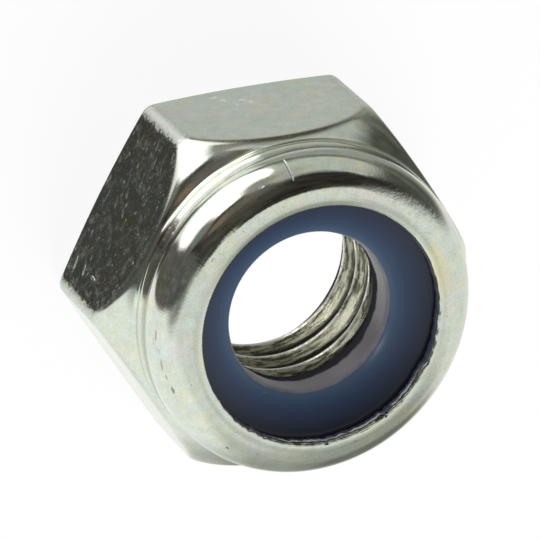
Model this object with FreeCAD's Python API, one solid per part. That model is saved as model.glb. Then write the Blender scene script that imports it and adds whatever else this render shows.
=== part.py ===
import FreeCAD, Part
import math
import os

# Hexagon nut with a captive nylon locking ring, thread M8 x 1.25, all lengths in millimetres.
# It stands on its bearing face at height 0, with its axis on Z and the locking ring at the top.
# Widths build up outwards from the thread, to 13 across the flats.

# threaded bore, plain at the size of the tap drill
thread_major_dia = 8.0
thread_pitch = 1.25
countersink_margin = 0.5
countersink_angle = 90.0
thread_run_out_margin = 0.1
thread_run_out_angle = 90.0

# locking ring and its seat
seat_margin = 1.35
recess_depth = 2.9
ring_side_clearance = 0.02
ring_lip_clearance = 0.04
ring_bite = 0.8
ring_rim_depth = 1.06
ring_rim_chamfer = 0.16
ring_foot_chamfer = 0.2

# collar, from the neck upwards: bead, groove, straight side, dome and lip
collar_wall = 0.94
neck_stand = 0.04
bead_stand = 0.07
bead_height = 0.62
groove_depth = 0.12
groove_run_out = 0.14
collar_side_height = 0.23
lip_overhang = 0.7
lip_flat = 0.29
lip_edge_chamfer = 0.12
lip_tip_thickness = 0.5

# hexagon, with a domed shoulder that cuts the upper ends of its flats into bows
sides = 6
nut_height = 8.0
flat_margin = 0.21
corner_round = 0.35
bearing_face_inset = 0.6
bearing_chamfer_angle = 15.0
shoulder_height = 2.36
shoulder_radius = 3.1

thread_bore_radius = (thread_major_dia - thread_pitch) / 2
countersink_radius = thread_major_dia / 2 + countersink_margin
run_out_radius = thread_major_dia / 2 + thread_run_out_margin
recess_radius = thread_major_dia / 2 + seat_margin
lip_radius = recess_radius - lip_overhang
collar_radius = recess_radius + collar_wall
dome_radius = collar_wall + lip_overhang - lip_flat
flat_radius = collar_radius + flat_margin
corner_radius = flat_radius / math.cos(math.pi / sides)
recess_floor = nut_height - recess_depth
neck_height = nut_height - dome_radius - collar_side_height - groove_run_out - bead_height


def point(radius, height):
    return FreeCAD.Vector(radius, 0, height)


def line(start, end):
    return Part.LineSegment(start, end).toShape()


def arc(start, middle, end):
    return Part.Arc(start, middle, end).toShape()


def round_arc(centre, radius, first_angle, last_angle):
    """Arc round a centre in the section, between two angles above the horizontal, in degrees."""
    ends = []
    for angle in (first_angle, (first_angle + last_angle) / 2, last_angle):
        turn = math.radians(angle)
        ends.append(centre + FreeCAD.Vector(radius * math.cos(turn), 0, radius * math.sin(turn)))
    return arc(ends[0], ends[1], ends[2])


def convex_arc(start, end, radius):
    """Arc of a radius from start to end that stands out to the right of the way it goes."""
    chord = end - start
    middle = (start + end) * 0.5
    rise = radius - math.sqrt(radius ** 2 - (chord.Length / 2) ** 2)
    side = point(chord.z, -chord.x).normalize()
    return arc(start, middle + side * rise, end)


def revolved(edges):
    face = Part.Face(Part.Wire(edges))
    return face.revolve(FreeCAD.Vector(0, 0, 0), FreeCAD.Vector(0, 0, 1), 360)


def hexagon_prism():
    """Prism with its first flat square to X and its upright edges rounded."""
    corners = []
    for index in range(sides):
        angle = math.pi / sides * (2 * index + 1)
        corners.append(FreeCAD.Vector(corner_radius * math.cos(angle), corner_radius * math.sin(angle), 0))
    outline = Part.makePolygon(corners + [corners[0]])
    prism = Part.Face(outline).extrude(FreeCAD.Vector(0, 0, nut_height))
    upright = [edge for edge in prism.Edges if edge.Vertexes[0].Z != edge.Vertexes[1].Z]
    return prism.makeFillet(corner_round, upright)


def hexagon_section():
    """Edges from the countersink over the bearing face and its chamfer to the neck."""
    face_radius = flat_radius - bearing_face_inset
    chamfer_height = (corner_radius - face_radius) * math.tan(math.radians(bearing_chamfer_angle))
    sink_edge = point(countersink_radius, 0)
    face_edge = point(face_radius, 0)
    corner_foot = point(corner_radius, chamfer_height)
    shoulder_foot = point(corner_radius, neck_height - shoulder_height)
    neck = point(collar_radius + neck_stand, neck_height)
    edges = [line(sink_edge, face_edge)]
    edges.append(line(face_edge, corner_foot))
    edges.append(line(corner_foot, shoulder_foot))
    edges.append(convex_arc(shoulder_foot, neck, shoulder_radius))
    return edges


def collar_section():
    """Edges from the neck over the bead, the groove and the dome to the inner edge of the lip."""
    neck = point(collar_radius + neck_stand, neck_height)
    bead = point(collar_radius + bead_stand, neck_height + bead_height / 2)
    groove = point(collar_radius - groove_depth, neck_height + bead_height)
    side_foot = point(collar_radius, groove.z + groove_run_out)
    side_top = point(collar_radius, nut_height - dome_radius)
    lip_outer = point(collar_radius - dome_radius, nut_height)
    lip_inner = point(lip_radius + lip_edge_chamfer, nut_height)
    lip_side = point(lip_radius, nut_height - lip_edge_chamfer)
    edges = [arc(neck, bead, groove)]
    edges.append(line(groove, side_foot))
    edges.append(line(side_foot, side_top))
    edges.append(round_arc(point(collar_radius - dome_radius, side_top.z), dome_radius, 0, 90))
    edges.append(line(lip_outer, lip_inner))
    edges.append(line(lip_inner, lip_side))
    edges.append(line(lip_side, point(lip_radius, nut_height - lip_tip_thickness)))
    return edges


def inside_section():
    """Edges from under the lip down the seat of the ring and the bore to the countersink."""
    wall_top = point(recess_radius, nut_height - lip_tip_thickness - lip_overhang)
    run_out_depth = (run_out_radius - thread_bore_radius) / math.tan(math.radians(thread_run_out_angle / 2))
    sink_depth = (countersink_radius - thread_bore_radius) / math.tan(math.radians(countersink_angle / 2))
    floor_outer = point(recess_radius, recess_floor)
    floor_inner = point(run_out_radius, recess_floor)
    bore_top = point(thread_bore_radius, recess_floor - run_out_depth)
    bore_foot = point(thread_bore_radius, sink_depth)
    edges = [round_arc(wall_top - point(lip_overhang, 0), lip_overhang, 90, 0)]
    edges.append(line(wall_top, floor_outer))
    edges.append(line(floor_outer, floor_inner))
    edges.append(line(floor_inner, bore_top))
    edges.append(line(bore_top, bore_foot))
    edges.append(line(bore_foot, point(countersink_radius, 0)))
    return edges


def make_nut_body():
    """Steel body in one piece: a turned blank, milled down to the hexagon."""
    blank = revolved(hexagon_section() + collar_section() + inside_section())
    return blank.common(hexagon_prism())


def make_nylon_ring():
    """Locking ring: it stands on the floor of its seat, and the lip holds it down."""
    hole_radius = thread_major_dia / 2 - ring_bite
    outer_radius = recess_radius - ring_side_clearance
    crown_radius = lip_overhang - ring_side_clearance
    crown_centre = point(lip_radius, nut_height - lip_tip_thickness - ring_lip_clearance - crown_radius)
    crown = crown_centre + point(0, crown_radius)
    rim = point(hole_radius + ring_rim_chamfer, nut_height - ring_rim_depth)
    hole_top = point(hole_radius, rim.z - ring_rim_chamfer)
    foot_inner = point(hole_radius, recess_floor + ring_foot_chamfer)
    foot_outer = point(hole_radius + ring_foot_chamfer, recess_floor)
    seat_edge = point(outer_radius, recess_floor)
    edges = [line(foot_outer, seat_edge)]
    edges.append(line(seat_edge, point(outer_radius, crown_centre.z)))
    edges.append(round_arc(crown_centre, crown_radius, 0, 90))
    edges.append(line(crown, rim))
    edges.append(line(rim, hole_top))
    edges.append(line(hole_top, foot_inner))
    edges.append(line(foot_inner, foot_outer))
    return revolved(edges)


os.makedirs("parts", exist_ok=True)
make_nut_body().exportStep("parts/nut_body.step")
make_nylon_ring().exportStep("parts/nylon_ring.step")
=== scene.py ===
import math
import bpy
import numpy as np
from mathutils import Matrix, Vector


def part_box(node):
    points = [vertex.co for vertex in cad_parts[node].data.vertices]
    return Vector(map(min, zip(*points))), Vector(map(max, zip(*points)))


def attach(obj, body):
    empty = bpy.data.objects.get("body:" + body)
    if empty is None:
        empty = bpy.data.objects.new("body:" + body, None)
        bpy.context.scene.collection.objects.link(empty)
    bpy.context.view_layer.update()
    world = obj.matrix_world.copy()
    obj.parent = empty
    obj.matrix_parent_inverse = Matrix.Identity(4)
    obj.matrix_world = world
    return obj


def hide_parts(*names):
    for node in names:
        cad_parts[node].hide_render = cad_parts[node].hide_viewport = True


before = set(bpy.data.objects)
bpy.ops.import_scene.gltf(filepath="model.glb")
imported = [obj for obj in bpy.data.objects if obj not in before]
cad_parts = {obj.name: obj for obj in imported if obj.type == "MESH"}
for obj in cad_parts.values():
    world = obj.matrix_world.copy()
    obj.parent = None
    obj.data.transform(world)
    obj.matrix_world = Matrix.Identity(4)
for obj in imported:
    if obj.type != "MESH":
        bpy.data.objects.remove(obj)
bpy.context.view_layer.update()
mm = 0.001
print("frame loaded:", sorted(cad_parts))

# widths and heights that come from the solids, in mm
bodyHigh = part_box("nut_body")[1]
ringLow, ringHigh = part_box("nylon_ring")
flatRadius = bodyHigh.x / mm
nutHeight = bodyHigh.z / mm
ringOuterRadius = ringHigh.x / mm
ringFoot = ringLow.z / mm
ringTop = ringHigh.z / mm
halfSide = math.pi / 6     # turn from the middle of a flat to its corner
sectionStep = 0.02         # mm between the points of a section


# A stretch of a section is an array of points (radius, height) about step mm apart:
# start (1 - share) + end share.
def straight(start, end, step=sectionStep):
    count = max(2, int(math.dist(start, end) / step))
    share = np.linspace(0, 1, count, endpoint=False)[:, None]
    return np.array(start) * (1 - share) + np.array(end) * share


# An arc from one angle to another, in degrees above the horizontal: centre + radius (cos, sin).
def bow(centre, radius, firstAngle, lastAngle, step=sectionStep):
    length = radius * math.radians(abs(lastAngle - firstAngle))
    angle = np.radians(np.linspace(firstAngle, lastAngle, max(2, int(length / step)), endpoint=False))
    return np.stack([centre[0] + radius * np.cos(angle), centre[1] + radius * np.sin(angle)], axis=1)


# Angles round the axis, closer together near the corners of the hexagon: within a side that starts at a
# corner, angle = 60 (u - crowding sin(2 pi u) / (2 pi)) degrees for u from 0 to 1.
def columnAngles(perSide, crowding=0.55):
    u = np.arange(perSide) / perSide
    side = u - crowding * np.sin(2 * np.pi * u) / (2 * np.pi)
    return (np.arange(6)[:, None] + side[None, :]).ravel() * (2 * halfSide) - halfSide


# Distance from the axis to the hexagon: apothem / cos(angle from the flat's middle), and near a corner
# the far crossing of the ray with the small circle that rounds the upright edge.
def hexagonRadius(angle, apothem, cornerRound):
    turn = np.abs((angle + halfSide) % (2 * halfSide) - halfSide)
    flat = apothem / np.cos(turn)
    centre = (apothem - cornerRound) / math.cos(halfSide)
    offset = halfSide - turn
    across = np.maximum(cornerRound ** 2 - (centre * np.sin(offset)) ** 2, 0)
    corner = centre * np.cos(offset) + np.sqrt(across)
    lastFlat = math.atan((apothem - cornerRound) * math.tan(halfSide) / apothem)
    return np.where(turn > lastFlat, corner, flat)


# Smooth noise of about unit size: the sum of sine waves that run in seeded random directions, each
# sin(2 pi stretch direction . point / wavelength + phase), times the root of 2 / waves.
def ripple(points, wavelength, seed, waves=28):
    dice = np.random.default_rng(seed)
    direction = dice.normal(size=(waves, 3))
    direction /= np.linalg.norm(direction, axis=1)[:, None]
    stretch = dice.uniform(0.6, 1.6, waves) * 2 * np.pi / wavelength
    phase = dice.uniform(0, 2 * np.pi, waves)
    return np.sin((points @ direction.T) * stretch + phase).sum(axis=-1) * math.sqrt(2 / waves)


# Rounds the sharp turns of every column: a bell-shaped running mean along the closed section, where each
# frequency f is scaled by exp(-2 (pi width f)^2) and width is in points.
def softened(values, width):
    count = values.shape[0]
    frequency = np.fft.rfftfreq(count)[:, None]
    bell = np.exp(-2 * (np.pi * width * frequency) ** 2)
    return np.fft.irfft(np.fft.rfft(values, axis=0) * bell, n=count, axis=0)


# Mesh from a grid (rows along the section, columns round the axis) that is closed both ways: each face joins
# a point, the next in its row, the one across and the next in its column.
def gridObject(name, grid):
    rows, columns = grid.shape[:2]
    index = np.arange(rows * columns).reshape(rows, columns)
    nextColumn = np.roll(index, -1, axis=1)
    nextRow = np.roll(index, -1, axis=0)
    across = np.roll(nextRow, -1, axis=1)
    faces = np.stack([index, nextColumn, across, nextRow], axis=2).reshape(-1, 4)
    mesh = bpy.data.meshes.new(name)
    mesh.from_pydata((grid.reshape(-1, 3) * mm).tolist(), [], faces.tolist())
    mesh.polygons.foreach_set("use_smooth", np.ones(len(faces), bool))
    mesh.update()
    obj = bpy.data.objects.new(name, mesh)
    bpy.context.scene.collection.objects.link(obj)
    return obj


# Joins the stretches of a section. Each brings its points and the number of rows that it gets in the mesh,
# and row k of n stands at start + k length / n.
def joinStretches(stretches):
    points = np.concatenate([part for part, rows in stretches])
    starts = np.cumsum([0] + [len(part) for part, rows in stretches])
    places = [start + np.arange(rows) * len(part) / rows
              for start, (part, rows) in zip(starts, stretches)]
    return points, np.concatenate(places)


# Rows at fractional places of a closed array: low (1 - share) + high share.
def rowsAt(values, places):
    low = np.floor(places).astype(int)
    share = (places - low)[:, None]
    high = (low + 1) % len(values)
    return values[low] * (1 - share) + values[high] * share


nutBody = dict(
    perSide=66,            # columns of the mesh on each side of the hexagon
    softness=3.5,          # rounding of the turned edges, in section steps
    bowSoftness=0.035,     # where the domed shoulder cuts the flats; this and all lengths in mm
    seamShadeWidth=0.10,        # of the painted shade along the seam there
    seamShadeStart=0.1,         # above the shoulder's foot
    cornerRound=0.45,
    bearingInset=0.6,      # bearing face, measured in from the flats
    bearingChamfer=15,     # degrees
    shoulderFoot=3.3,      # where the domed shoulder starts on the corners
    shoulderRadius=3.1,
    neck=(6.33, 5.66),     # (radius, height) of the points of the section
    beadMiddle=(6.36, 5.97),
    groove=(6.17, 6.28),
    sideFoot=(6.29, 6.42),
    domeFoot=(6.29, 6.65),
    domeRadius=1.35,
    lipRadius=4.61,
    lipEdge=0.09,
    lipOffCentre=0.11,     # the lip is rolled in further on the +Y side
    lipRagged=0.022,       # size of the ragged edge, full on the -Y side and gone on the +Y side
    lipWaves=((0.9, 3), (0.35, 4)),   # wavelength and seed of each ripple there
    lipReach=0.6,          # how far outside the lip's edge both shifts end
    lipFade=0.5,
    lipDepth=0.2,          # how far below the lip's tip they go
    lipTip=0.5,            # thickness of the rolled lip at its edge
    seatRadius=5.35,
    seatFloor=5.1,
    runOutRadius=4.1,
    sinkRadius=4.5,        # countersink at the bearing face
    sinkAngle=90,
)

nutThread = dict(
    pitch=1.25,
    crestRadius=3.39,
    rootRadius=4.0,
    crestFlat=0.24,
    flankAngle=30,         # degrees from the plane across the axis
)


# Radius of the threaded hole: crest + (distance from the crest's middle - half its flat) / tan(flank angle),
# held between crest and root, where the distance runs along the axis on a right-hand helix.
# The two cones at its ends cut into it.
def holeRadius(angle, height, body, thread):
    phase = (height / thread["pitch"] - angle / (2 * np.pi)) % 1
    distance = np.abs(phase - 0.5) * thread["pitch"]
    flank = (distance - thread["crestFlat"] / 2) / math.tan(math.radians(thread["flankAngle"]))
    turns = np.clip(thread["crestRadius"] + flank, thread["crestRadius"], thread["rootRadius"])
    runOut = body["runOutRadius"] - (body["seatFloor"] - height)
    sink = body["sinkRadius"] - height * math.tan(math.radians(body["sinkAngle"] / 2))
    return np.maximum(turns, np.maximum(runOut, sink))


# The arc of a given radius from start to end, bulging outwards from the axis: its centre lies
# sqrt(radius^2 - chord^2 / 4) inward from the middle of the chord.
def shoulderArc(start, end, radius):
    start, end = np.array(start), np.array(end)
    chord = end - start
    reach = math.sqrt(radius ** 2 - (chord @ chord) / 4)
    inward = np.array([-chord[1], chord[0]]) / np.linalg.norm(chord)
    centre = (start + end) / 2 + inward * reach
    angles = [math.degrees(math.atan2(*(spot - centre)[::-1])) for spot in (start, end)]
    return bow(centre, radius, *angles)


# Shift of the lip's inner part, in mm: share (ragged ripples ((1 - sin(angle)) / 2)^2 - off-centre
# sin(angle)), where the share is 1 at the lip's edge and falls off as a square outside it.
def lipShift(points, angle, body):
    share = np.clip((body["lipRadius"] + body["lipReach"] - points[:, :1]) / body["lipFade"], 0, 1) ** 2
    share = share * (points[:, 1:] > nutHeight - body["lipTip"] - body["lipDepth"])
    edge = np.stack([np.cos(angle[0]), np.sin(angle[0]), angle[0] * 0], axis=1) * body["lipRadius"]
    ragged = sum(ripple(edge, wavelength, seed) for wavelength, seed in body["lipWaves"])
    ragged = ragged * ((1 - np.sin(angle)) / 2) ** 2
    return share * (body["lipRagged"] * ragged - body["lipOffCentre"] * np.sin(angle))


# The body: a turned section, held inside the hexagon column by column, then softened and sampled.
# point(row, column) = (r cos(angle), r sin(angle), z), with r the soft lesser of the section's radius a and
# the hexagon's b: -k ln(exp(-a / k) + exp(-b / k)). The painted shade along the seam where they meet is
# exp(-((a - b) / width)^2), times the root of (1 + cos(6 angle)) / 2, which is 1 in the middle of a flat and
# 0 at a corner.
def bodyGrid(body, thread):
    cornerRadius = flatRadius / math.cos(halfSide)
    faceRadius = flatRadius - body["bearingInset"]
    chamferTop = (cornerRadius - faceRadius) * math.tan(math.radians(body["bearingChamfer"]))
    neck, groove = body["neck"], body["groove"]
    beadMiddle, sideFoot, domeFoot = body["beadMiddle"], body["sideFoot"], body["domeFoot"]
    domeCentre = (domeFoot[0] - body["domeRadius"], domeFoot[1])
    lip, edge = body["lipRadius"], body["lipEdge"]
    seatTop = nutHeight - body["lipTip"] - (body["seatRadius"] - lip)
    stretches = [
        (straight((body["sinkRadius"], 0), (faceRadius, 0)), 8),
        (straight((faceRadius, 0), (cornerRadius, chamferTop)), 16),
        (straight((cornerRadius, chamferTop), (cornerRadius, body["shoulderFoot"])), 14),
        (shoulderArc((cornerRadius, body["shoulderFoot"]), neck, body["shoulderRadius"]), 48),
        (straight(neck, beadMiddle), 8),
        (straight(beadMiddle, groove), 8),
        (straight(groove, sideFoot), 5),
        (straight(sideFoot, domeFoot), 5),
        (bow(domeCentre, body["domeRadius"], 0, 90), 28),
        (straight((domeCentre[0], nutHeight), (lip + edge, nutHeight)), 3),
        (straight((lip + edge, nutHeight), (lip, nutHeight - edge)), 4),
        (straight((lip, nutHeight - edge), (lip, nutHeight - body["lipTip"])), 5),
        (bow((lip, seatTop), body["seatRadius"] - lip, 90, 0), 8),
        (straight((body["seatRadius"], seatTop), (body["seatRadius"], body["seatFloor"])), 4),
        (straight((body["seatRadius"], body["seatFloor"]), (body["runOutRadius"], body["seatFloor"])), 5),
        (straight((body["runOutRadius"], body["seatFloor"]), (body["runOutRadius"], 0), step=0.015), 74),
    ]
    points, places = joinStretches(stretches)
    bore = slice(len(points) - len(stretches[-1][0]), None)
    angle = columnAngles(body["perSide"])[None, :]
    height = np.repeat(points[:, 1:], angle.size, axis=1)
    turned, flats = points[:, :1], hexagonRadius(angle, flatRadius, body["cornerRound"])
    soft = body["bowSoftness"]
    radius = -soft * np.logaddexp(-turned / soft, -flats / soft)
    # painted shade: a dark line along the seam where the shoulder cuts the flats, kept in the mesh as an
    # attribute
    seam = np.exp(-((turned - flats) / body["seamShadeWidth"]) ** 2)
    seam = seam * (points[:, 1:] > body["shoulderFoot"] + body["seamShadeStart"])
    seam = seam * np.sqrt((1 + np.cos(6 * angle)) / 2)
    radius = radius + lipShift(points, angle, body)
    radius[bore] = holeRadius(angle, height[bore], body, thread)
    radius = rowsAt(softened(radius, body["softness"]), places)
    height = rowsAt(softened(height, body["softness"]), places)
    grid = np.stack([radius * np.cos(angle), radius * np.sin(angle), height], axis=2)
    return grid, rowsAt(seam, places)


ringShape = dict(
    columns=300,
    softness=5,            # rounding of its edges, in section steps
    holeRadius=3.1,        # sizes in mm, and points as (radius, height)
    rim=(3.36, 6.94),
    rimFoot=(3.1, 6.80),
    crownRadius=0.68,
    footChamfer=0.2,
)


# The ring: one softened section, the same at every angle: point = (r cos(angle), r sin(angle), z).
def ringGrid(ring):
    hole, foot = ring["holeRadius"], ring["footChamfer"]
    crownCentre = (ringOuterRadius - ring["crownRadius"], ringTop - ring["crownRadius"])
    stretches = [
        (straight((hole + foot, ringFoot), (ringOuterRadius, ringFoot)), 8),
        (straight((ringOuterRadius, ringFoot), (ringOuterRadius, crownCentre[1])), 8),
        (bow(crownCentre, ring["crownRadius"], 0, 90), 14),
        (straight((crownCentre[0], ringTop), ring["rim"]), 22),
        (straight(ring["rim"], ring["rimFoot"]), 8),
        (straight(ring["rimFoot"], (hole, ringFoot + foot)), 16),
        (straight((hole, ringFoot + foot), (hole + foot, ringFoot)), 6),
    ]
    points, places = joinStretches(stretches)
    points = rowsAt(softened(points, ring["softness"]), places)
    angle = np.arange(ring["columns"]) * 2 * np.pi / ring["columns"]
    radius = points[:, :1]
    height = np.repeat(points[:, 1:], angle.size, axis=1)
    return np.stack([radius * np.cos(angle), radius * np.sin(angle), height], axis=2)


steelGrid, steelSeamShade = bodyGrid(nutBody, nutThread)
bodyObject = gridObject("steelBody", steelGrid)
bodyObject.data.attributes.new("seam", "FLOAT", "POINT").data.foreach_set("value", steelSeamShade.ravel())
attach(bodyObject, "root")
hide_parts("nut_body")
ringObject = gridObject("nylonRing", ringGrid(ringShape))
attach(ringObject, "root")
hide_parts("nylon_ring")
print("pieces:", len(bodyObject.data.polygons), "and", len(ringObject.data.polygons), "faces")


# A socket with arithmetic: an expression on it adds its Math nodes.
class Wire:
    def __init__(self, graph, socket):
        self.graph = graph
        self.socket = socket

    def math(self, operation, other=0.0, third=0.0):
        return self.graph.add("ShaderNodeMath", {"operation": operation}, {0: self, 1: other, 2: third})

    def __add__(self, other):
        return self.math("ADD", other)

    def __mul__(self, other):
        return self.math("MULTIPLY", other)

    def __sub__(self, other):
        return self.math("SUBTRACT", other)

    def __truediv__(self, other):
        return self.math("DIVIDE", other)

    def __rsub__(self, other):
        return self * -1 + other

    def __pow__(self, other):
        return self.math("POWER", other)

    def __abs__(self):
        return self.math("ABSOLUTE")

    __radd__ = __add__
    __rmul__ = __mul__

    # 0 below low, 1 above high, and a smooth slope between them
    def rise(self, low, high):
        return self.graph.add("ShaderNodeMapRange", {"interpolation_type": "SMOOTHSTEP"},
                              {"Value": self, "From Min": low, "From Max": high})

    # 1 within full of the middle and 0 beyond none
    def near(self, middle, full, none):
        return 1 - abs(self - middle).rise(full, none)

    def capped(self):
        return self.math("MINIMUM", 1.0)


# A node tree and the one method that adds a node: settings first, then values or links of its sockets.
class Graph:
    def __init__(self, tree):
        self.tree = tree

    def add(self, kind, settings=None, sockets=None, output=0):
        node = self.tree.nodes.new(kind)
        for key, value in (settings or {}).items():
            if key == "stops":
                while len(node.color_ramp.elements) < len(value):
                    node.color_ramp.elements.new(0.5)
                for stop, (place, color) in zip(node.color_ramp.elements, value):
                    stop.position = place
                    stop.color = (*color, 1)
            else:
                setattr(node, key, value)
        for key, value in (sockets or {}).items():
            if isinstance(value, Wire):
                self.tree.links.new(value.socket, node.inputs[key])
            elif isinstance(value, tuple) and node.inputs[key].type == "RGBA":
                node.inputs[key].default_value = (*value, 1)
            else:
                node.inputs[key].default_value = value
        return Wire(self, node.outputs[output]) if len(node.outputs) else node

    # mix of two colours: first (1 - share) + second share, or another mode
    def blend(self, first, second, share, mode="MIX"):
        return self.add("ShaderNodeMix", {"data_type": "RGBA", "blend_type": mode},
                        {0: share, 6: first, 7: second}, output=2)

    def noise(self, place, scale, detail=3, roughness=0.5, distortion=0):
        return self.add("ShaderNodeTexNoise", {}, {
            "Vector": place, "Scale": scale, "Detail": detail,
            "Roughness": roughness, "Distortion": distortion})

    def vector(self, x, y, z):
        return self.add("ShaderNodeCombineXYZ", {}, {0: x, 1: y, 2: z})

    def grey(self, level):
        return self.vector(level, level, level)

    def parts(self, vector):
        return (self.add("ShaderNodeSeparateXYZ", {}, {0: vector}, output=axis) for axis in range(3))

    # relief in mm as a bump
    def bump(self, relief):
        return self.add("ShaderNodeBump", {}, {"Strength": 1.0, "Distance": mm, "Height": relief})


# an empty material and its graph
def newMaterial(name):
    material = bpy.data.materials.new(name)
    material.use_nodes = True
    material.node_tree.nodes.clear()
    return material, Graph(material.node_tree)


# the point on a piece in its own coordinates, in metres
def objectPlace(graph):
    return graph.add("ShaderNodeTexCoord", {}, {}, output="Object")


# Places on a turned piece, in mm: the point, its angle round the axis in radians with its cosine and sine,
# its distance from the axis, its height, and along = distance from the axis - height.
class TurnedPlace:
    def __init__(self, graph):
        self.graph = graph
        self.point = graph.add("ShaderNodeVectorMath", {"operation": "SCALE"},
                               {0: objectPlace(graph), "Scale": 1 / mm})
        x, y, self.height = graph.parts(self.point)
        self.angle = y.math("ARCTAN2", x)
        self.radius = (x * x + y * y).math("SQRT")
        self.cosine = x / self.radius
        self.sine = y / self.radius
        self.along = self.radius - self.height

    # noise at (around cos, around sin, stretch along): long round the axis where stretch is the larger
    def streaks(self, around, stretch, detail, roughness):
        place = self.graph.vector(self.cosine * around, self.sine * around, self.along * stretch)
        return self.graph.noise(place, 1.0, detail, roughness)

    # 1 on the side of the axis that a direction points to, -1 on the other
    def toward(self, direction):
        return self.cosine * direction[0] + self.sine * direction[1]

    # how far out a point is, measured square to the nearest flat: radius cos(angle from the flat's middle)
    def reach(self):
        return self.radius * self.angle.math("WRAP", halfSide, -halfSide).math("COSINE")

    # 1 inside a small oval: turned and down from its middle over its half sizes, squared and added; a lean
    # shifts it round by lean mm for each mm along
    def spot(self, mark, edge=(0.3, 1.4)):
        turned = (self.angle - math.radians(mark["angle"])) * self.radius
        down = self.along - mark["along"]
        if "lean" in mark:
            turned = turned - down * mark["lean"]
        across, down = turned / mark["half"][0], down / mark["half"][1]
        return 1 - (across * across + down * down).rise(*edge)


# Where the zinc finish changes on the body, in mm from the axis or above the bearing face: each pair is
# (none, full) for rise, and groove and neck are (middle, full, none) for near.
zones = dict(
    flat=(flatRadius - 0.09, flatRadius - 0.03),
    corner=(7.31, 7.45),
    collar=dict(height=(5.7, 6.4), radius=(4.7, 4.8)),
    rim=dict(height=(7.3, 7.9), radius=(4.8, 5.0)),
    lip=dict(height=(7.2, 7.4), inside=(4.2, 4.3), outside=(4.68, 4.74)),
    bevel=(7.85, 7.92),    # of the lip
    burr=dict(foot=(7.70, 7.76), top=(7.84, 7.88)),
    gapShadeTop=(7.76, 7.86),
    groove=(6.21, 0.04, 0.18),
    neck=(5.65, 0.01, 0.07),
    hole=(4.2, 4.35),
    # where the thread gets painted shade (roots, run-out) and a painted highlight (crests)
    root=(3.66, 3.77),
    crest=(3.40, 3.43),
    runOut=(4.25, 4.4),
)

# Noises of the zinc finish: scale in 1/mm, or for streaks and crust the stretch round and along, then detail,
# roughness and distortion.
grains = dict(
    soft=(0.55, 2, 0.5),
    cloudy=(2.3, 5, 0.62, 0.3),
    fine=(13.0, 3, 0.6),
    sharp=(4.4, 4, 0.6, 0.6),
    grainy=(6.5, 5, 0.7, 0.2),
    streaksRound=(1.4, 7.0, 4, 0.6),
    streaksAcross=(26.0, 1.3, 3, 0.6),
    crust=(7.0, 9.0, 3, 0.55),
    turning=dict(around=5.0, outward=11.0, upward=2.0, detail=4, roughness=0.65),
    scratch=dict(turn=(0.5, 0.9, 0.4), scale=(0.15, 5.0, 5.0), detail=2, roughness=0.5, distortion=0.4),
    tint=dict(step=7.0, start=(3.0, 5.0), detail=4, roughness=0.6, distortion=0.4),
)

# One entry for each effect: colours, shares from 0 to 1, heights of the relief in mm, and the two levels
# between which a noise rises. A side is a direction from the axis, or two sines of the angle round it, and
# handledAt and frayedAt are (middle, full, none) in radians round it.
zincFinish = dict(
    color=(0.68, 0.73, 0.655),
    tints=[                # faint colours of the plating, in blotches; mm between blotches
        dict(color=(0.80, 0.70, 0.68), every=1.6, share=0.55),
        dict(color=(0.66, 0.73, 0.76), every=1.2, share=0.5),
        dict(color=(0.78, 0.76, 0.55), every=0.9, share=0.45),
    ],
    tintLevels=(0.47, 0.68),
    shade=dict(base=0.56, grain=0.44, share=0.9),
    # stain is the dark colour of dirt and stains, and also of the painted shade in the creases
    stain=(0.13, 0.12, 0.10),
    dust=(0.86, 0.90, 0.86),
    ochre=(0.80, 0.75, 0.46),
    bright=(1.0, 1.0, 1.0),
    # dark navy on one side of the lip's inner wall: painted shade of the gap and a painted reflection of the
    # nylon
    smear=(0.10, 0.12, 0.18),
    gapShadeSide=(-0.2, 0.3),
    thread=dict(
        # crest is the colour of a painted highlight, root that of painted shade in the roots and the run-out
        dark=(0.30, 0.30, 0.21), bright=(1.0, 1.0, 0.80), crest=(0.98, 0.93, 0.90), root=(0.10, 0.10, 0.075),
        flakes=(0.42, 0.60), waver=0.25, rootBase=0.5, crestLevels=(0.3, 0.55), runOutShare=0.95),
    dirt=dict(
        spots=(0.58, 0.70), spotGrain=(0.42, 0.62), thinning=0.06, onBody=0.12, onRim=0.5,
        crustSide=(-0.26, -0.966), crustReach=(0.70, 0.88),
        crust=(0.44, 0.60), crustBase=0.35, crustShare=0.8,
        # side, groove, neck and seam set the painted shade in the creases, darkest towards side
        side=(0.5, 0.866), sideShare=0.6, grooveBase=0.15, neckShare=0.25, seamBase=0.6, seamGrain=1.6),
    dusty=dict(
        grains=(0.62, 0.80), grainShare=0.25, smoke=(0.50, 0.68), smokeShare=0.10, corner=0.55,
        burr=(0.42, 0.56), handledAt=(2.3, 0.15, 0.4), handled=(0.4, 0.7), handledShare=1.6),
    relief=dict(
        body=0.001, flat=0.0012, thread=0.006, turning=0.03, corner=0.015, cornerWaver=0.25, scratch=0.003,
        scratches=(0.66, 0.70), streaksRound=0.0014, streaksAcross=0.004, acrossSide=(-0.4, 0.2),
        frayedAt=(0.28, 0.15, 0.6), frayed=0.011, frayedGrain=0.8, frayedAcross=0.7, crust=0.05),
    marks=dict(strength=1.3, stain=(0.3, 0.5), dust=(0.35, 0.55), smoothDust=(0.15, 0.4)),
    flecks=(0.4, 1.2),     # least and added share of the smoke and of the worn thread
    roughness=(0.04, 0.10),
    roughLevels=(0.35, 0.65),
    haze=dict(levels=(0.4, 0.7), base=0.5, share=0.12),
    rougher=dict(hole=0.2, dirt=0.2, worn=0.25, dust=0.4, corner=0.3, lip=0.2),
    lessMetal=dict(dust=0.85, worn=0.5, smear=0.9),
)

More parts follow.
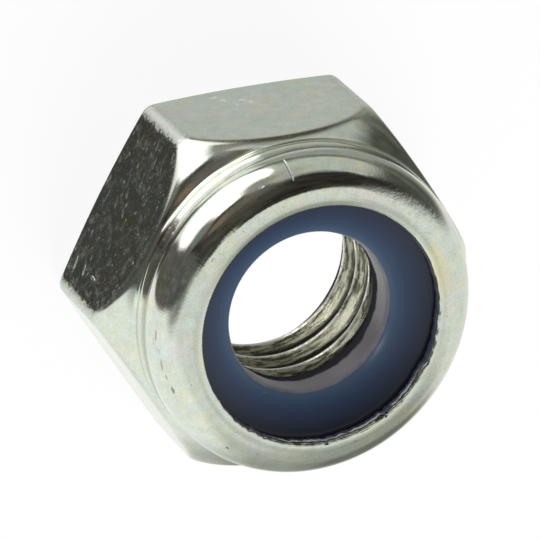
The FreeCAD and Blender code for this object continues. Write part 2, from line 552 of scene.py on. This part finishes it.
# Marks of handling: angle in degrees, along and half sizes (round, along) in mm, and what the mark does
# there: dent in mm, stain and dust from 0 to 1, or a colour of zincFinish with its share. A lean tilts the
# oval and makes its dust smooth.
marks = [
    dict(angle=68.0, along=-1.33, half=(0.05, 0.62), dent=0.03, dust=0.35),
    dict(angle=79.8, along=-1.66, half=(0.13, 0.06), dent=0.03, dust=0.2),
    dict(angle=146.0, along=-1.12, half=(0.26, 0.05), dent=0.010, stain=0.40),
    dict(angle=148.5, along=-0.95, half=(0.15, 0.05), dent=0.008, stain=0.35),
    dict(angle=152.0, along=-1.27, half=(0.13, 0.10), dent=0.008, stain=0.30),
    dict(angle=157.0, along=-1.36, half=(0.24, 0.05), dent=0.010, stain=0.40),
    dict(angle=161.5, along=-1.50, half=(0.12, 0.06), dent=0.010, stain=0.40),
    dict(angle=166.9, along=-1.65, half=(0.18, 0.09), dent=0.014, stain=0.55),
    dict(angle=-160.6, along=-2.05, half=(0.07, 0.05), dent=0.03, stain=1.0),
    dict(angle=114.0, along=0.30, half=(0.75, 0.32), stain=0.8),
    dict(angle=-14.0, along=-3.05, half=(1.2, 0.32), color="ochre", share=0.75),
    dict(angle=75.2, along=1.06, half=(0.22, 0.42), lean=1.9, dust=0.6),
    dict(angle=70.6, along=5.81, half=(0.18, 0.12), color="bright", share=0.9),
    dict(angle=68.8, along=5.37, half=(0.12, 0.18), color="bright", share=0.8),
    dict(angle=62.5, along=5.05, half=(0.20, 0.16), color="bright", share=1.0),
    dict(angle=61.0, along=4.75, half=(0.12, 0.14), color="bright", share=1.0),
    dict(angle=66.1, along=4.71, half=(0.10, 0.12), color="bright", share=0.8),
    dict(angle=141.7, along=6.03, half=(0.22, 0.05), dent=0.008, dust=0.1),
    dict(angle=141.7, along=5.17, half=(0.18, 0.06), dent=0.008, dust=0.1),
    dict(angle=141.4, along=4.21, half=(0.06, 0.20), dent=0.008, dust=0.12),
]


# The noises and masks that the effects of the zinc finish share. A mask is 1 where its name says.
class ZincPatterns:
    def __init__(self, graph, finish):
        self.graph = graph
        self.place = place = TurnedPlace(graph)
        point, radius, height = place.point, place.radius, place.height
        self.soft, self.cloudy, self.fine, self.sharp, self.grainy = (
            graph.noise(point, *grains[name]) for name in ("soft", "cloudy", "fine", "sharp", "grainy"))
        self.streaksRound, self.streaksAcross, self.crust = (
            place.streaks(*grains[name]) for name in ("streaksRound", "streaksAcross", "crust"))
        turning, scratch = grains["turning"], grains["scratch"]
        turned = graph.vector(place.cosine * turning["around"], place.sine * turning["around"],
                              radius * turning["outward"] + height * turning["upward"])
        self.turning = graph.noise(turned, 1.0, turning["detail"], turning["roughness"])
        scored = graph.add("ShaderNodeMapping", {}, {
            "Vector": point, "Rotation": scratch["turn"], "Scale": scratch["scale"]})
        self.scratch = graph.noise(
            scored, 1.0, scratch["detail"], scratch["roughness"], scratch["distortion"])
        self.flecked = finish["flecks"][0] + finish["flecks"][1] * self.fine

        self.seam = graph.add("ShaderNodeAttribute", {"attribute_name": "seam"}, {}, output="Fac")
        self.onFlat = place.reach().rise(*zones["flat"])
        waver = finish["relief"]["cornerWaver"] * (self.grainy - 0.5)
        self.onCorner = (radius + waver).rise(*zones["corner"])
        self.inHole = 1 - radius.rise(*zones["hole"])
        self.onCollar = height.rise(*zones["collar"]["height"]) * radius.rise(*zones["collar"]["radius"])
        self.onRim = height.rise(*zones["rim"]["height"]) * radius.rise(*zones["rim"]["radius"])
        shifted = radius + nutBody["lipOffCentre"] * place.sine
        self.onLip = height.rise(*zones["lip"]["height"]) * (1 - shifted.rise(*zones["lip"]["outside"]))
        self.onLip = self.onLip * radius.rise(*zones["lip"]["inside"])
        crustSide = place.toward(finish["dirt"]["crustSide"])
        self.ragged = self.onLip * crustSide.rise(*finish["dirt"]["crustReach"])
        self.bevel = self.ragged * height.rise(*zones["bevel"])


# Colour of the plating: blotches of each tint, times a shade of base + grain (fine + cloudy).
def platingColor(patterns, finish):
    graph, color, shade, tinted = patterns.graph, finish["color"], finish["shade"], grains["tint"]
    for number, tint in enumerate(finish["tints"]):
        apart = graph.add("ShaderNodeVectorMath", {"operation": "ADD"}, {
            0: patterns.place.point, 1: (number * tinted["step"], *tinted["start"])})
        cloud = graph.noise(
            apart, 1 / tint["every"], tinted["detail"], tinted["roughness"], tinted["distortion"])
        color = graph.blend(color, tint["color"], cloud.rise(*finish["tintLevels"]) * tint["share"])
    level = shade["base"] + shade["grain"] * patterns.fine + shade["grain"] * patterns.cloudy
    return graph.blend(color, graph.grey(level), shade["share"], "MULTIPLY")


# Dirt and painted shade, 0 to 1: fine spots and the crust on the lip's bevel are dirt; the dark lines in the
# groove, the neck and the seam where the shoulder cuts the flats are painted shade, darkest on one side of
# the nut.
def bodyDirtAndShade(patterns, look):
    height, cloudy = patterns.place.height, patterns.cloudy
    shadeSide = 0.5 + 0.5 * patterns.place.toward(look["side"])
    spots = (patterns.sharp - look["thinning"] * patterns.soft).rise(*look["spots"])
    spots = spots * patterns.fine.rise(*look["spotGrain"])
    dirt = spots * (look["onBody"] + look["onRim"] * patterns.onRim)
    crust = look["crustBase"] + patterns.crust.rise(*look["crust"])
    dirt = dirt + crust * patterns.bevel * look["crustShare"]
    # painted shade: dark lines in the groove and the neck, stronger on one side of the nut
    groove = height.near(*zones["groove"]) + look["neckShare"] * height.near(*zones["neck"])
    sidedShade = (1 - look["sideShare"]) + look["sideShare"] * shadeSide
    dirt = dirt + groove * patterns.onCollar * (look["grooveBase"] + cloudy) * sidedShade
    # painted shade along the seam, darkest on one side of the nut
    return dirt + patterns.seam * shadeSide * shadeSide * (look["seamBase"] + look["seamGrain"] * cloudy)


# Dust and a painted highlight, 0 to 1: grains and smoke on the flats, smoke where the collar was handled, the
# worn corners, and a pale line on the burr at the lip that is a painted highlight of its glint.
def bodyDustAndGlint(patterns, look):
    height = patterns.place.height
    smoke = patterns.cloudy.rise(*look["smoke"]) * patterns.flecked * look["smokeShare"]
    handled = patterns.onCollar * patterns.place.angle.near(*look["handledAt"])
    handled = handled * patterns.streaksRound.rise(*look["handled"]) * look["handledShare"]
    # painted highlight: a pale line on the burr at the lip's ragged side stands for its glint
    burr = patterns.ragged * height.rise(*zones["burr"]["foot"]) * (1 - height.rise(*zones["burr"]["top"]))
    burr = burr * patterns.crust.rise(*look["burr"])
    grain = patterns.grainy.rise(*look["grains"]) * look["grainShare"]
    return (grain + smoke) * patterns.onFlat + handled * smoke + patterns.onCorner * look["corner"] + burr


# Relief in mm: the sum of each noise times its mask and height.
def bodyRelief(patterns, look):
    place, onFlat, onRim = patterns.place, patterns.onFlat, patterns.onRim
    relief = patterns.fine * (look["body"] + onFlat * look["flat"] + patterns.inHole * look["thread"])
    relief = relief + patterns.grainy * onFlat * look["flat"]
    relief = relief + patterns.cloudy * patterns.onCorner * look["corner"]
    relief = relief - patterns.scratch.rise(*look["scratches"]) * onFlat * look["scratch"]
    relief = relief + patterns.streaksRound * patterns.onCollar * look["streaksRound"]
    fray = onRim * place.angle.near(*look["frayedAt"])
    brushed = place.sine.rise(*look["acrossSide"]) - look["frayedAcross"] * fray
    relief = relief + patterns.streaksAcross * onRim * brushed * look["streaksAcross"]
    relief = relief + (patterns.sharp + look["frayedGrain"] * patterns.grainy) * fray * look["frayed"]
    relief = relief + patterns.crust * patterns.bevel * look["crust"]
    return relief + patterns.turning * patterns.inHole * look["turning"]


# Colour of the thread, from how worn it is: pale worn flakes on dark turns, with painted shade in the roots
# and the run-out and a painted highlight on the crests.
def threadColorWithPaintedLight(patterns, worn, look):
    graph, radius, height = patterns.graph, patterns.place.radius, patterns.place.height
    color = graph.blend(look["dark"], look["bright"], worn)
    # painted shade in the roots
    root = radius.rise(*zones["root"]) * (look["rootBase"] + patterns.cloudy)
    color = graph.blend(color, look["root"], root)
    # painted highlight along the crests
    crest = (1 - radius.rise(*zones["crest"])) * patterns.sharp.rise(*look["crestLevels"])
    color = graph.blend(color, look["crest"], crest)
    # painted shade over the run-out under the nylon
    return graph.blend(color, look["root"], height.rise(*zones["runOut"]) * look["runOutShare"])


# The plating with its marks: dirt with the painted shade of the creases, the thread with its painted shade
# and highlight, the painted shade of the lip's wall and dust cover it in turn, and each adds to the roughness
# and takes from the metal.
def makeZinc(finish, marks):
    material, graph = newMaterial("zinc")
    patterns = ZincPatterns(graph, finish)
    place, cloudy, fine, sharp = patterns.place, patterns.cloudy, patterns.fine, patterns.sharp
    color = platingColor(patterns, finish)
    dirt = bodyDirtAndShade(patterns, finish["dirt"])
    dust = bodyDustAndGlint(patterns, finish["dusty"])
    relief = bodyRelief(patterns, finish["relief"])
    levels, thread = finish["marks"], finish["thread"]
    for mark in marks:
        spot = place.spot(mark)
        if "dent" in mark:
            relief = relief - spot * mark["dent"]
        if "stain" in mark:
            dirt = dirt + spot * (mark["stain"] * levels["strength"]) * sharp.rise(*levels["stain"])
        if "dust" in mark:
            grain = cloudy.rise(*levels["smoothDust"]) if "lean" in mark else fine.rise(*levels["dust"])
            dust = dust + spot * (mark["dust"] * levels["strength"]) * grain
        if "color" in mark:
            share = spot * mark["share"] * fine.rise(*levels["dust"])
            color = graph.blend(color, finish[mark["color"]], share)
    dust = dust.capped()
    # the stain colour paints the dirt and the painted shade of the creases
    color = graph.blend(color, finish["stain"], dirt.capped())
    worn = (patterns.turning + thread["waver"] * (cloudy - 0.5)).rise(*thread["flakes"])
    worn = (worn * patterns.flecked).capped()
    color = graph.blend(color, threadColorWithPaintedLight(patterns, worn, thread), patterns.inHole)
    # painted shade: the lip's inner wall on one side takes the navy of the shaded gap and of the nylon it
    # reflects
    smear = patterns.onLip * (1 - place.sine.rise(*finish["gapShadeSide"]))
    smear = smear * (1 - place.height.rise(*zones["gapShadeTop"]))
    color = graph.blend(color, finish["smear"], smear)
    color = graph.blend(color, finish["dust"], dust)

    low, high = finish["roughness"]
    haze, rougher, lessMetal = finish["haze"], finish["rougher"], finish["lessMetal"]
    worn = worn * patterns.inHole
    hazy = patterns.onFlat * patterns.grainy.rise(*haze["levels"]) * (haze["base"] + cloudy)
    roughness = low + (high - low) * patterns.soft.rise(*finish["roughLevels"]) + hazy * haze["share"]
    roughness = roughness + rougher["hole"] * patterns.inHole + rougher["dirt"] * dirt
    roughness = roughness + rougher["worn"] * worn + rougher["dust"] * dust
    roughness = roughness + rougher["corner"] * patterns.onCorner + rougher["lip"] * patterns.onLip
    metallic = 1 - dust * lessMetal["dust"] - worn * lessMetal["worn"] - smear * lessMetal["smear"]
    shader = graph.add("ShaderNodeBsdfPrincipled", {}, {
        "Base Color": color, "Metallic": metallic, "Roughness": roughness, "Normal": graph.bump(relief)})
    graph.add("ShaderNodeOutputMaterial", {}, {"Surface": shader})
    return material


nylonFinish = dict(
    roughness=(0.24, 0.36),
    colorsWithPaintedLight=[               # colour by distance from the axis in mm, from the hole's wall (pale: painted reflection) to the lip (dark: painted shade)
        (3.11, (0.300, 0.280, 0.310)),
        (3.20, (0.050, 0.078, 0.125)),
        (3.46, (0.029, 0.052, 0.098)),
        (3.80, (0.023, 0.037, 0.074)),
        (4.20, (0.020, 0.028, 0.052)),
        (4.60, (0.021, 0.024, 0.038)),
    ],
    colorWaver=0.10,       # mm that these colours wander
    shade=dict(base=0.9, grain=0.2),
    foot=(0.058, 0.062, 0.076),
    footHeight=(5.75, 5.90),
    footWaver=0.5,         # mm
    holeWall=(3.13, 3.19),
    specks=dict(color=(0.30, 0.33, 0.36), scale=1.6, size=(0.02, 0.05), share=0.6,
                patches=0.9, patchLevels=(0.5, 0.56)),
    cloudy=(1.1, 4, 0.6),  # scale in 1/mm, detail and roughness of the noises
    fine=(7.0, 4, 0.6),
    turning=(1.2, 9.0, 3, 0.5),
    gloss=0.25,
    grain=0.0015,          # heights of the relief in mm
    turned=0.0012,
)


# The nylon: a ramp of colours by radius that paints a reflection on the hole's wall and shade under the lip,
# with pale specks, and a dull shadow on the foot of the hole's wall.
def makeNylon(finish):
    material, graph = newMaterial("nylon")
    place = TurnedPlace(graph)
    inner, outer = finish["colorsWithPaintedLight"][0][0], finish["colorsWithPaintedLight"][-1][0]
    cloudy = graph.noise(place.point, *finish["cloudy"])
    fine = graph.noise(place.point, *finish["fine"])
    share = (place.radius + finish["colorWaver"] * (cloudy - 0.5) - inner) / (outer - inner)
    stops = [((radius - inner) / (outer - inner), color) for radius, color in finish["colorsWithPaintedLight"]]
    # the ramp holds a painted reflection at the hole's wall and painted shade towards the lip
    color = graph.add("ShaderNodeValToRGB", {"stops": stops}, {"Fac": share})
    level = finish["shade"]["base"] + finish["shade"]["grain"] * fine
    color = graph.blend(color, graph.grey(level), 1.0, "MULTIPLY")
    specks = finish["specks"]
    away = graph.add("ShaderNodeTexVoronoi", {}, {"Vector": place.point, "Scale": specks["scale"]},
                     output="Distance")
    patches = graph.noise(place.point, specks["patches"], 2).rise(*specks["patchLevels"])
    color = graph.blend(color, specks["color"], (1 - away.rise(*specks["size"])) * patches * specks["share"])
    relief = fine * finish["grain"] + place.streaks(*finish["turning"]) * finish["turned"]
    low, high = finish["roughness"]
    shader = graph.add("ShaderNodeBsdfPrincipled", {}, {
        "Base Color": color, "Roughness": low + (high - low) * cloudy,
        "Specular IOR Level": finish["gloss"], "Normal": graph.bump(relief)})
    shadow = graph.add("ShaderNodeBsdfDiffuse", {}, {"Color": finish["foot"]})
    above = (place.height + finish["footWaver"] * (cloudy - 0.5)).rise(*finish["footHeight"])
    foot = (1 - above) * (1 - place.radius.rise(*finish["holeWall"]))
    mixed = graph.add("ShaderNodeMixShader", {}, {0: foot, 1: shader, 2: shadow})
    graph.add("ShaderNodeOutputMaterial", {}, {"Surface": mixed})
    return material


zinc = makeZinc(zincFinish, marks)
nylon = makeNylon(nylonFinish)
bodyObject.data.materials.append(zinc)
ringObject.data.materials.append(nylon)
for name, finish in (("nut_body", zinc), ("nylon_ring", nylon)):
    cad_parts[name].data.materials.clear()
    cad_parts[name].data.materials.append(finish)
print("finishes:", zinc.name, "and", nylon.name)


# The unit direction at an azimuth round from +X and an elevation, in degrees.
def skyDirection(azimuth, elevation):
    azimuth, elevation = math.radians(azimuth), math.radians(elevation)
    return Vector((math.cos(elevation) * math.cos(azimuth), math.cos(elevation) * math.sin(azimuth),
                   math.sin(elevation)))


view = dict(
    azimuth=99.658,        # where the camera stands, in degrees
    elevation=59.409,
    roll=134.22,           # the nut lies on one flat in the picture
    distance=200.51,       # mm
    aim=(0.01, 0.589, 3.658),
    lens=361.5,
    sensor=36,
)


# Camera axes: back points from the aim to the camera, side lies level, and side and top turn by the roll.
def makeCamera(view):
    back, roll = skyDirection(view["azimuth"], view["elevation"]), math.radians(view["roll"])
    side = Vector((0, 0, 1)).cross(back).normalized()
    top = back.cross(side)
    right = side * math.cos(roll) + top * math.sin(roll)
    up = back.cross(right)
    data = bpy.data.cameras.new("camera")
    data.lens = view["lens"]
    data.sensor_width = view["sensor"]
    data.clip_start = 0.01
    data.clip_end = 5
    camera = bpy.data.objects.new("camera", data)
    place = (Vector(view["aim"]) + back * view["distance"]) * mm
    camera.matrix_world = Matrix((
        (right.x, up.x, back.x, place.x),
        (right.y, up.y, back.y, place.y),
        (right.z, up.z, back.z, place.z),
        (0, 0, 0, 1)))
    bpy.context.scene.collection.objects.link(camera)
    bpy.context.scene.camera = camera


makeCamera(view)
bpy.context.scene.view_settings.view_transform = "Standard"

# The light tent that the metal reflects. Each panel is a rounded patch: its middle and half sizes are in
# degrees round the nut and above the horizon, soft is the width of its edge as a share of its size, power
# its squareness, and lean its tilt. Later panels cover earlier ones. The mottle makes the cloth uneven.
tent = dict(
    radius=300,            # mm
    cloth=(1.0, 1.02, 0.98),
    darkest=(0.012, 0.012, 0.010),
    mottle=dict(scale=8.0, detail=4, roughness=0.65, middle=0.48, light=(0.20, 0.19, 0.185)),
    panels=[
        dict(middle=(-112, 28), half=(20, 28), soft=0.6, power=2, light=(0.58, 0.60, 0.56)),
        dict(middle=(-102, -8), half=(26, 38), soft=0.5, power=2, light=(0.38, 0.39, 0.36)),
        dict(middle=(0, 90), half=(400, 42), soft=0.2, power=4, light=(0.82, 0.84, 0.80)),
        dict(middle=(-52, 0), half=(24, 90), soft=0.3, power=3, light=(0.86, 0.87, 0.82)),
        dict(middle=(-88, 30), half=(15, 27), soft=0.5, power=2, light=(0.38, 0.39, 0.36)),
        dict(middle=(-91, -8), half=(14, 20), soft=0.5, power=2, light=(0.19, 0.19, 0.17)),
        dict(middle=(14, -36), half=(44, 62), soft=0.12, power=4, light=(0.36, 0.37, 0.34)),
        dict(middle=(-11, 2), half=(18, 31), soft=0.4, power=3, light=(0.09, 0.09, 0.075)),
        dict(middle=(10, -90), half=(52, 36), soft=0.08, power=5, light=(0.55, 0.57, 0.54)),
        dict(middle=(66, 52), half=(84, 34), soft=0.07, power=5, lean=-0.2, light=(0.032, 0.029, 0.024)),
        dict(middle=(-18, 44), half=(9, 16), soft=0.6, power=2, light=(0.27, 0.27, 0.25)),
        dict(middle=(40, 3), half=(31, 25), soft=0.26, power=3, light=(0.58, 0.60, 0.55)),
        dict(middle=(88, 60), half=(38, 24), soft=0.5, power=2, light=(0.075, 0.068, 0.055)),
        dict(middle=(80, 36), half=(24, 12), soft=0.5, power=2, light=(0.15, 0.135, 0.12)),
        dict(middle=(101, 37), half=(8, 5), soft=0.5, power=2, light=(0.22, 0.16, 0.12)),
        dict(middle=(-3, 33), half=(13, 13), soft=0.3, power=2, light=(0.035, 0.032, 0.028)),
        dict(middle=(128, 75), half=(24, 8), soft=0.4, power=2, light=(0.07, 0.068, 0.06)),
        dict(middle=(54, 16), half=(11, 17), soft=0.45, power=2, light=(0.48, 0.48, 0.44)),
        dict(middle=(150, 45), half=(18, 22), soft=0.5, power=2, light=(0.24, 0.23, 0.22)),
        dict(middle=(138, 0), half=(17, 56), soft=0.12, power=4, light=(0.11, 0.108, 0.102)),
        dict(middle=(128, -78), half=(28, 26), soft=0.1, power=5, light=(0.055, 0.054, 0.05)),
        dict(middle=(89, -63), half=(10, 10), soft=0.5, power=2, light=(0.75, 0.76, 0.74)),
        dict(middle=(55, -36), half=(62, 5), soft=0.6, power=4, lean=-0.42, light=(0.20, 0.20, 0.18)),
        dict(middle=(91, -15), half=(31.5, 36), soft=0.05, power=2.1, light=(1.7, 1.7, 1.66)),
        dict(middle=(70, 14), half=(10, 13), soft=0.4, power=2, light=(0.34, 0.34, 0.31)),
        dict(middle=(110, 17), half=(11, 11), soft=0.4, power=2, light=(0.22, 0.22, 0.20)),
    ],
)


# Mask of a panel: 1 where (|round / half round|^power + |up / half up|^power)^(1 / power) is well under 1.
def panelMask(azimuth, elevation, panel):
    around = (azimuth - panel["middle"][0]).math("WRAP", 180.0, -180.0)
    above = elevation - panel["middle"][1] - around * panel.get("lean", 0.0)
    power = panel["power"]
    far = (abs(around / panel["half"][0]) ** power + abs(above / panel["half"][1]) ** power) ** (1 / power)
    return 1 - far.rise(1 - panel["soft"], 1 + panel["soft"])


# A sphere that only reflections see: light = the panels over the cloth + mottle (noise - its middle), never
# under the darkest.
def makeTent(tent):
    bpy.ops.mesh.primitive_uv_sphere_add(segments=48, ring_count=24, radius=tent["radius"] * mm)
    obj = bpy.context.object
    obj.name = "lightTent"
    material, graph = newMaterial("tentCloth")
    direction = graph.add("ShaderNodeVectorMath", {"operation": "NORMALIZE"}, {0: objectPlace(graph)})
    x, y, z = graph.parts(direction)
    azimuth = y.math("ARCTAN2", x) * math.degrees(1)
    elevation = z.math("ARCSINE") * math.degrees(1)
    light, mottle = tent["cloth"], tent["mottle"]
    for panel in tent["panels"]:
        light = graph.blend(light, panel["light"], panelMask(azimuth, elevation, panel))
    uneven = graph.noise(direction, mottle["scale"], mottle["detail"], mottle["roughness"]) - mottle["middle"]
    light = graph.blend(light, graph.vector(*(uneven * level for level in mottle["light"])), 1.0, "ADD")
    light = graph.add("ShaderNodeVectorMath", {"operation": "MAXIMUM"}, {0: light, 1: tent["darkest"]})
    glow = graph.add("ShaderNodeEmission", {}, {"Color": light})
    graph.add("ShaderNodeOutputMaterial", {}, {"Surface": glow})
    material.cycles.emission_sampling = "NONE"
    obj.data.materials.append(material)
    for ray in ("camera", "diffuse", "transmission", "volume_scatter", "shadow"):
        setattr(obj, "visible_" + ray, False)


# Pale floor, in mm: the camera sees it near white with the nut's shadow, and pure white through the hole,
# where it glows as painted light over the nut's shade.
floorLook = dict(
    size=600,
    height=-0.02,          # just under the bearing face
    color=(0.9, 0.9, 0.9),
    whiteShare=0.9,
    holeRadius=5.2,
    holeEdge=0.3,
)


# 1 for the rays that show the background: from the camera, and through mirrors or glass
def brightRays(graph):
    rays = ("Is Camera Ray", "Is Glossy Ray", "Is Transmission Ray")
    seen = [graph.add("ShaderNodeLightPath", {}, {}, output=ray) for ray in rays]
    return seen[0].math("MAXIMUM", seen[1].math("MAXIMUM", seen[2]))


# A plane that mixes a plain surface and white light: share = bright rays (1 - outside (1 - white share)).
def makeFloor(look):
    bpy.ops.mesh.primitive_plane_add(size=look["size"] * mm, location=(0, 0, look["height"] * mm))
    obj = bpy.context.object
    obj.name = "floor"
    material, graph = newMaterial("paleFloor")
    distance = graph.add("ShaderNodeVectorMath", {"operation": "LENGTH"}, {0: objectPlace(graph)}, output=1)
    # painted light: inside the nut's footprint the floor glows pure white where the nut's shade falls
    outside = distance.rise((look["holeRadius"] - look["holeEdge"]) * mm, look["holeRadius"] * mm)
    share = brightRays(graph) * (1 - outside * (1 - look["whiteShare"]))
    plain = graph.add("ShaderNodeBsdfDiffuse", {}, {"Color": look["color"]})
    white = graph.add("ShaderNodeEmission", {}, {"Color": (1.0, 1.0, 1.0)})
    mixed = graph.add("ShaderNodeMixShader", {}, {0: share, 1: plain, 2: white})
    graph.add("ShaderNodeOutputMaterial", {}, {"Surface": mixed})
    material.cycles.emission_sampling = "NONE"
    obj.data.materials.append(material)
    obj.visible_glossy = False


# The world: white to the camera and in reflections, softer as light on the object.
def makeWorld(ambient):
    world = bpy.data.worlds.new("studio")
    bpy.context.scene.world = world
    world.use_nodes = True
    world.node_tree.nodes.clear()
    graph = Graph(world.node_tree)
    level = graph.blend((ambient,) * 3, (1.0, 1.0, 1.0), brightRays(graph))
    sky = graph.add("ShaderNodeBackground", {}, {"Color": level})
    graph.add("ShaderNodeOutputWorld", {}, {"Surface": sky})


# The key lamp lights the ring, and a narrow spot looks into the hole. Lengths are in mm, angles in degrees
# and power in watts.
lamps = [
    dict(name="keyLamp", kind="AREA", azimuth=-105, elevation=48, distance=120, aimHeight=0,
         size=90, power=0.12),
    dict(name="holeLamp", kind="SPOT", azimuth=132, elevation=62, distance=150, aimHeight=6.9,
         size=1, cone=2.5, coneEdge=0.3, power=0.23),
]


# A lamp at distance from its aim on the axis, along its azimuth and elevation, and turned to face it.
def makeLamp(lamp):
    toward = skyDirection(lamp["azimuth"], lamp["elevation"])
    data = bpy.data.lights.new(lamp["name"], lamp["kind"])
    data.energy = lamp["power"]
    if lamp["kind"] == "SPOT":
        data.spot_size = math.radians(lamp["cone"])
        data.spot_blend = lamp["coneEdge"]
        data.shadow_soft_size = lamp["size"] * mm
    else:
        data.shape = "DISK"
        data.size = lamp["size"] * mm
    obj = bpy.data.objects.new(lamp["name"], data)
    obj.location = (toward * lamp["distance"] + Vector((0, 0, lamp["aimHeight"]))) * mm
    obj.rotation_mode = "QUATERNION"
    obj.rotation_quaternion = toward.to_track_quat("Z", "Y")
    obj.visible_glossy = lamp["kind"] == "SPOT"
    bpy.context.scene.collection.objects.link(obj)


makeTent(tent)
makeFloor(floorLook)
makeWorld(ambient=0.55)
for lamp in lamps:
    makeLamp(lamp)
print("studio ready")
